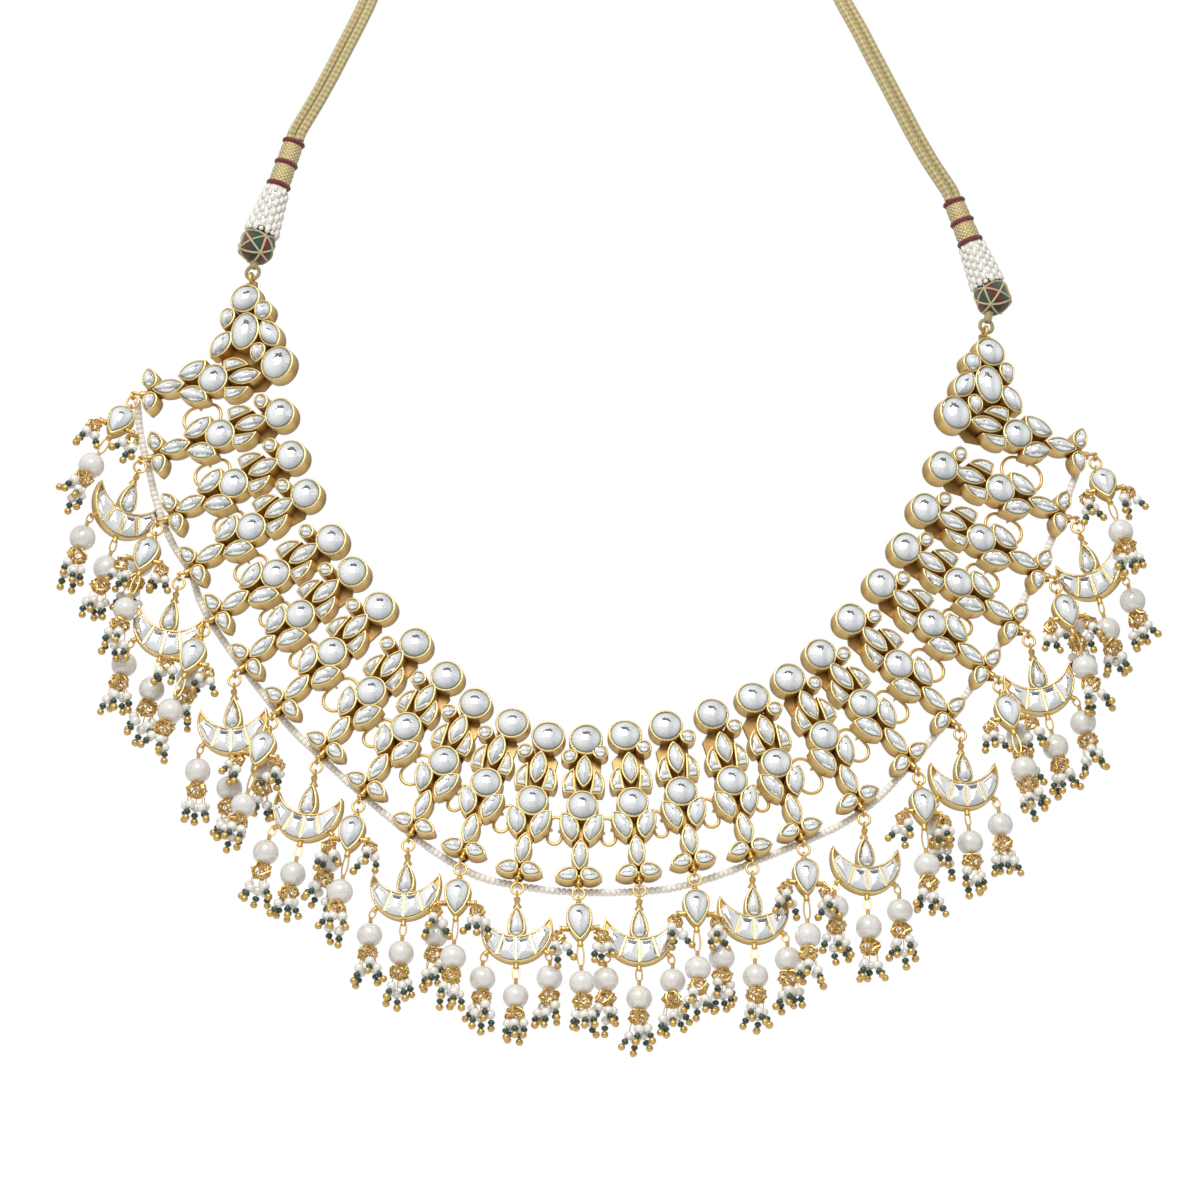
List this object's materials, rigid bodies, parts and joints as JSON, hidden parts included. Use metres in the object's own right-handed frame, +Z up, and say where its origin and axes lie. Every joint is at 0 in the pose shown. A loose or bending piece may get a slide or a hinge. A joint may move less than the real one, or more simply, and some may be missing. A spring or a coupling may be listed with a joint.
{
  "type": "bridal collar necklace",
  "caption": "Wide gold collar of flower plaques set with clear foiled stones, with a fringe of crescent and teardrop drops and pearls, worn on a braided neck cord.",
  "frame": {"origin": "middle of the neck opening, level with the cord at the back of the neck", "axes": "+X to the right of the picture, -Y towards the viewer, out from the chest, +Z up"},
  "size_m": [0.3063, 0.1915, 0.3106],
  "materials": {
    "gold": "matte yellow gold",
    "cut_glass": "clear cut glass over silver foil",
    "pearl": "cream pearl",
    "seed_pearl": "cream seed pearls",
    "bound_thread": "maroon thread",
    "gold_braid": "braided gold thread"
  },
  "bodies": {
    "root": {"end_plate_left": "gold", "plaque_left_11": "gold", "plaque_left_10": "gold", "plaque_left_9": "gold", "plaque_left_8": "gold", "plaque_left_7": "gold", "plaque_left_6": "gold", "plaque_left_5": "gold", "plaque_left_4": "gold", "plaque_left_3": "gold", "plaque_left_2": "gold", "plaque_left_1": "gold", "plaque_centre": "gold", "plaque_right_1": "gold", "plaque_right_2": "gold", "plaque_right_3": "gold", "plaque_right_4": "gold", "plaque_right_5": "gold", "plaque_right_6": "gold", "plaque_right_7": "gold", "plaque_right_8": "gold", "plaque_right_9": "gold", "plaque_right_10": "gold", "plaque_right_11": "gold", "end_plate_right": "gold", "round_stones": "cut_glass", "top_stones": "cut_glass", "drop_stones": "cut_glass", "collar_links": "gold", "jump_rings": "gold", "teardrops_left": "gold", "teardrop_centre": "gold", "teardrops_right": "gold", "crescents_left": "gold", "crescents_right": "gold", "pearls_left": "pearl", "pearls_right": "pearl", "seed_string": "seed_pearl", "thread_ball_left": "bound_thread", "thread_ball_right": "bound_thread", "pearl_cap_left": "seed_pearl", "pearl_cap_right": "seed_pearl", "cord_sleeve_left": "gold_braid", "cord_sleeve_right": "gold_braid", "strand_left_inner": "gold_braid", "strand_left_outer": "gold_braid", "strand_right_inner": "gold_braid", "strand_right_outer": "gold_braid", "back_slider": "bound_thread"}
  },
  "joints": []
}
